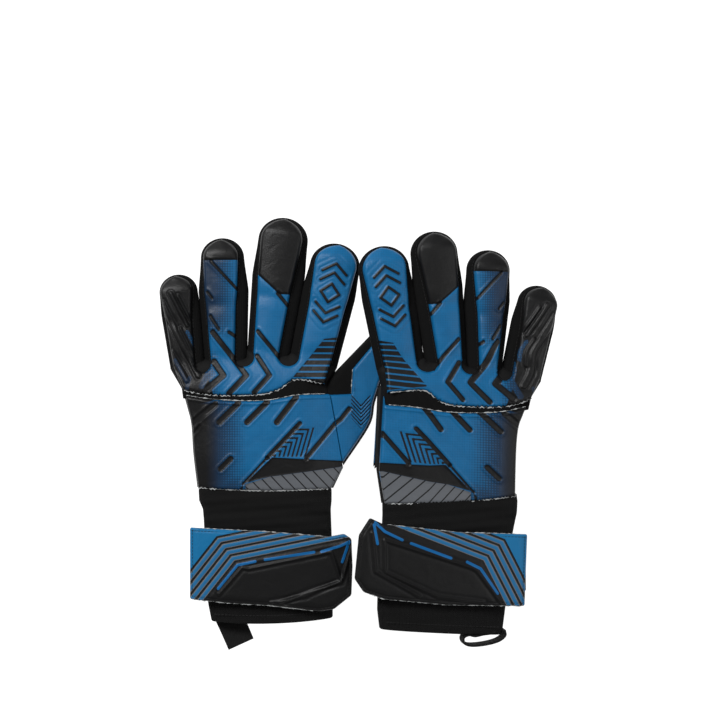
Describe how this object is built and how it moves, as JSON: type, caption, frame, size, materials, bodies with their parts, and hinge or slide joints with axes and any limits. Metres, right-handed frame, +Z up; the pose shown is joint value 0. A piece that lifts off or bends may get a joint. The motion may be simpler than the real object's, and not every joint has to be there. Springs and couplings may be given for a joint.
{
  "type": "goalkeeper gloves",
  "caption": "Pair of padded goalkeeper gloves with bending fingers, folding thumbs, knitted cuffs, opening wrist straps and pull tabs.",
  "frame": {"origin": "middle of the pair's footprint, on the surface it lies on", "axes": "+Z up, out of the backs of the hands; +Y along the fingers; +X from the left glove to the right glove"},
  "size_m": [0.281, 0.3068, 0.0457],
  "materials": {
    "moulded_print": "satin moulded latex, printed",
    "moulded_black": "satin moulded latex",
    "gusset_textile": "matt stretch textile",
    "palm_latex": "matt latex foam",
    "cuff_knit": "ribbed elastic knit",
    "hook_and_loop": "hook and loop pile",
    "webbing": "woven elastic webbing"
  },
  "bodies": {
    "left_hand": {"left_palm_shell": "palm_latex", "left_knuckle_panel": "moulded_print", "left_flex_strip": "gusset_textile", "left_lower_back_panel": "moulded_print", "left_cuff": "cuff_knit", "left_strap_band": "webbing", "left_loop_patch": "hook_and_loop"},
    "left_little_finger": {"left_little_proximal_sleeve": "gusset_textile", "left_little_proximal_back": "moulded_black"},
    "left_little_fingertip": {"left_little_distal_sleeve": "gusset_textile", "left_little_distal_back": "moulded_black"},
    "left_ring_finger": {"left_ring_proximal_sleeve": "gusset_textile", "left_ring_proximal_back": "moulded_print"},
    "left_ring_fingertip": {"left_ring_distal_sleeve": "gusset_textile", "left_ring_distal_back": "moulded_print"},
    "left_middle_finger": {"left_middle_proximal_sleeve": "gusset_textile", "left_middle_proximal_back": "moulded_print"},
    "left_middle_fingertip": {"left_middle_distal_sleeve": "gusset_textile", "left_middle_distal_back": "moulded_print"},
    "left_index_finger": {"left_index_proximal_sleeve": "gusset_textile", "left_index_proximal_back": "moulded_print"},
    "left_index_fingertip": {"left_index_distal_sleeve": "gusset_textile", "left_index_distal_back": "moulded_print"},
    "left_thumb": {"left_thumb_sleeve": "gusset_textile", "left_thumb_back": "moulded_print"},
    "left_strap": {"left_strap": "moulded_print", "left_hook_patch": "hook_and_loop"},
    "left_pull_tab": {"left_pull_tab": "webbing"},
    "right_hand": {"right_palm_shell": "palm_latex", "right_knuckle_panel": "moulded_print", "right_flex_strip": "gusset_textile", "right_lower_back_panel": "moulded_print", "right_cuff": "cuff_knit", "right_strap_band": "webbing", "right_loop_patch": "hook_and_loop"},
    "right_little_finger": {"right_little_proximal_sleeve": "gusset_textile", "right_little_proximal_back": "moulded_black"},
    "right_little_fingertip": {"right_little_distal_sleeve": "gusset_textile", "right_little_distal_back": "moulded_black"},
    "right_ring_finger": {"right_ring_proximal_sleeve": "gusset_textile", "right_ring_proximal_back": "moulded_print"},
    "right_ring_fingertip": {"right_ring_distal_sleeve": "gusset_textile", "right_ring_distal_back": "moulded_print"},
    "right_middle_finger": {"right_middle_proximal_sleeve": "gusset_textile", "right_middle_proximal_back": "moulded_print"},
    "right_middle_fingertip": {"right_middle_distal_sleeve": "gusset_textile", "right_middle_distal_back": "moulded_print"},
    "right_index_finger": {"right_index_proximal_sleeve": "gusset_textile", "right_index_proximal_back": "moulded_print"},
    "right_index_fingertip": {"right_index_distal_sleeve": "gusset_textile", "right_index_distal_back": "moulded_print"},
    "right_thumb": {"right_thumb_sleeve": "gusset_textile", "right_thumb_back": "moulded_print"},
    "right_strap": {"right_strap": "moulded_print", "right_hook_patch": "hook_and_loop"},
    "right_pull_tab": {"right_pull_tab": "webbing"}
  },
  "joints": [
    {"name": "left_little_knuckle", "type": "hinge", "parent": "left_hand", "child": "left_little_finger", "pos_m": [-0.1218, 0.05928, 0.008], "axis": [-0.9921, -0.1253, 0], "range_deg": [0, 17], "stiffness_Nm_per_rad": 0.25},
    {"name": "left_little_middle_joint", "type": "hinge", "parent": "left_little_finger", "child": "left_little_fingertip", "pos_m": [-0.12444, 0.08011, 0.008], "axis": [-0.9921, -0.1253, 0], "range_deg": [0, 18.7], "stiffness_Nm_per_rad": 0.25},
    {"name": "left_ring_knuckle", "type": "hinge", "parent": "left_hand", "child": "left_ring_finger", "pos_m": [-0.09392, 0.06166, 0.008], "axis": [-0.9994, -0.0349, 0], "range_deg": [0, 17], "stiffness_Nm_per_rad": 0.6},
    {"name": "left_ring_middle_joint", "type": "hinge", "parent": "left_ring_finger", "child": "left_ring_fingertip", "pos_m": [-0.09497, 0.09164, 0.008], "axis": [-0.9994, -0.0349, 0], "range_deg": [0, 18.7], "stiffness_Nm_per_rad": 0.6},
    {"name": "left_middle_knuckle", "type": "hinge", "parent": "left_hand", "child": "left_middle_finger", "pos_m": [-0.0624, 0.06578, 0.008], "axis": [-0.9921, 0.1253, 0], "range_deg": [0, 17], "stiffness_Nm_per_rad": 0.6},
    {"name": "left_middle_middle_joint", "type": "hinge", "parent": "left_middle_finger", "child": "left_middle_fingertip", "pos_m": [-0.05838, 0.09752, 0.008], "axis": [-0.9921, 0.1253, 0], "range_deg": [0, 18.7], "stiffness_Nm_per_rad": 0.6},
    {"name": "left_index_knuckle", "type": "hinge", "parent": "left_hand", "child": "left_index_finger", "pos_m": [-0.02956, 0.06228, 0.008], "axis": [-0.9755, 0.2198, 0], "range_deg": [0, 17], "stiffness_Nm_per_rad": 0.6},
    {"name": "left_index_middle_joint", "type": "hinge", "parent": "left_index_finger", "child": "left_index_fingertip", "pos_m": [-0.02319, 0.09057, 0.008], "axis": [-0.9755, 0.2198, 0], "range_deg": [0, 18.7], "stiffness_Nm_per_rad": 0.6},
    {"name": "left_thumb_fold", "type": "hinge", "parent": "left_hand", "child": "left_thumb", "pos_m": [-0.01631, 0.00712, 0], "axis": [-0.1756, 0.9845, 0], "range_deg": [0, 60], "stiffness_Nm_per_rad": 0.6},
    {"name": "left_strap_opening", "type": "hinge", "parent": "left_hand", "child": "left_strap", "pos_m": [-0.118, -0.09063, 0.0208], "axis": [0, -1, 0], "range_deg": [0, 170]},
    {"name": "left_pull_tab_swing", "type": "hinge", "parent": "left_hand", "child": "left_pull_tab", "pos_m": [-0.08896, -0.13547, 0.00405], "axis": [-0.9135, -0.4067, 0], "range_deg": [-15, 60]},
    {"name": "right_glove_apart", "type": "slide", "parent": "left_hand", "child": "right_hand", "axis": [1, 0, 0], "range_m": [0, 0.1]},
    {"name": "right_little_knuckle", "type": "hinge", "parent": "right_hand", "child": "right_little_finger", "pos_m": [0.11674, 0.05206, 0.01141], "axis": [-0.9637, 0.225, 0.144], "range_deg": [0, 17], "stiffness_Nm_per_rad": 0.25},
    {"name": "right_little_middle_joint", "type": "hinge", "parent": "right_little_finger", "child": "right_little_fingertip", "pos_m": [0.12141, 0.07252, 0.01072], "axis": [-0.9637, 0.225, 0.144], "range_deg": [0, 18.7], "stiffness_Nm_per_rad": 0.25},
    {"name": "right_ring_knuckle", "type": "hinge", "parent": "right_hand", "child": "right_ring_finger", "pos_m": [0.0883, 0.05576, 0.01567], "axis": [-0.988, 0.0454, 0.1477], "range_deg": [0, 17], "stiffness_Nm_per_rad": 0.6},
    {"name": "right_ring_middle_joint", "type": "hinge", "parent": "right_ring_finger", "child": "right_ring_fingertip", "pos_m": [0.0896, 0.08473, 0.01547], "axis": [-0.988, 0.0454, 0.1477], "range_deg": [0, 18.7], "stiffness_Nm_per_rad": 0.6},
    {"name": "right_middle_knuckle", "type": "hinge", "parent": "right_hand", "child": "right_middle_finger", "pos_m": [0.06031, 0.06129, 0.01985], "axis": [-0.9827, -0.1132, 0.1469], "range_deg": [0, 17], "stiffness_Nm_per_rad": 0.6},
    {"name": "right_middle_middle_joint", "type": "hinge", "parent": "right_middle_finger", "child": "right_middle_fingertip", "pos_m": [0.05684, 0.09209, 0.02037], "axis": [-0.9827, -0.1132, 0.1469], "range_deg": [0, 18.7], "stiffness_Nm_per_rad": 0.6},
    {"name": "right_index_knuckle", "type": "hinge", "parent": "right_hand", "child": "right_index_finger", "pos_m": [0.02757, 0.05919, 0.02474], "axis": [-0.9743, -0.1719, 0.1456], "range_deg": [0, 3], "stiffness_Nm_per_rad": 0.6},
    {"name": "right_index_middle_joint", "type": "hinge", "parent": "right_index_finger", "child": "right_index_fingertip", "pos_m": [0.02264, 0.08776, 0.02548], "axis": [-0.9743, -0.1719, 0.1456], "range_deg": [0, 3.3], "stiffness_Nm_per_rad": 0.6},
    {"name": "right_thumb_fold", "type": "hinge", "parent": "right_hand", "child": "right_thumb", "pos_m": [0.01281, 0.00602, 0.01866], "axis": [0.06, 0.9982, -0.009], "range_deg": [0, 8], "stiffness_Nm_per_rad": 0.6},
    {"name": "right_strap_opening", "type": "hinge", "parent": "right_hand", "child": "right_strap", "pos_m": [0.11775, -0.09063, 0.02421], "axis": [0, 1, 0], "range_deg": [0, 170]},
    {"name": "right_pull_tab_swing", "type": "hinge", "parent": "right_hand", "child": "right_pull_tab", "pos_m": [0.08844, -0.13603, 0.01757], "axis": [-0.989, 0, 0.1478], "range_deg": [-22, 22]}
  ],
  "couplings": [
    {"joint": "left_little_middle_joint", "follows": "left_little_knuckle", "ratio": 1.1},
    {"joint": "left_ring_middle_joint", "follows": "left_ring_knuckle", "ratio": 1.1},
    {"joint": "left_middle_middle_joint", "follows": "left_middle_knuckle", "ratio": 1.1},
    {"joint": "left_index_middle_joint", "follows": "left_index_knuckle", "ratio": 1.1},
    {"joint": "right_little_middle_joint", "follows": "right_little_knuckle", "ratio": 1.1},
    {"joint": "right_ring_middle_joint", "follows": "right_ring_knuckle", "ratio": 1.1},
    {"joint": "right_middle_middle_joint", "follows": "right_middle_knuckle", "ratio": 1.1},
    {"joint": "right_index_middle_joint", "follows": "right_index_knuckle", "ratio": 1.1}
  ]
}
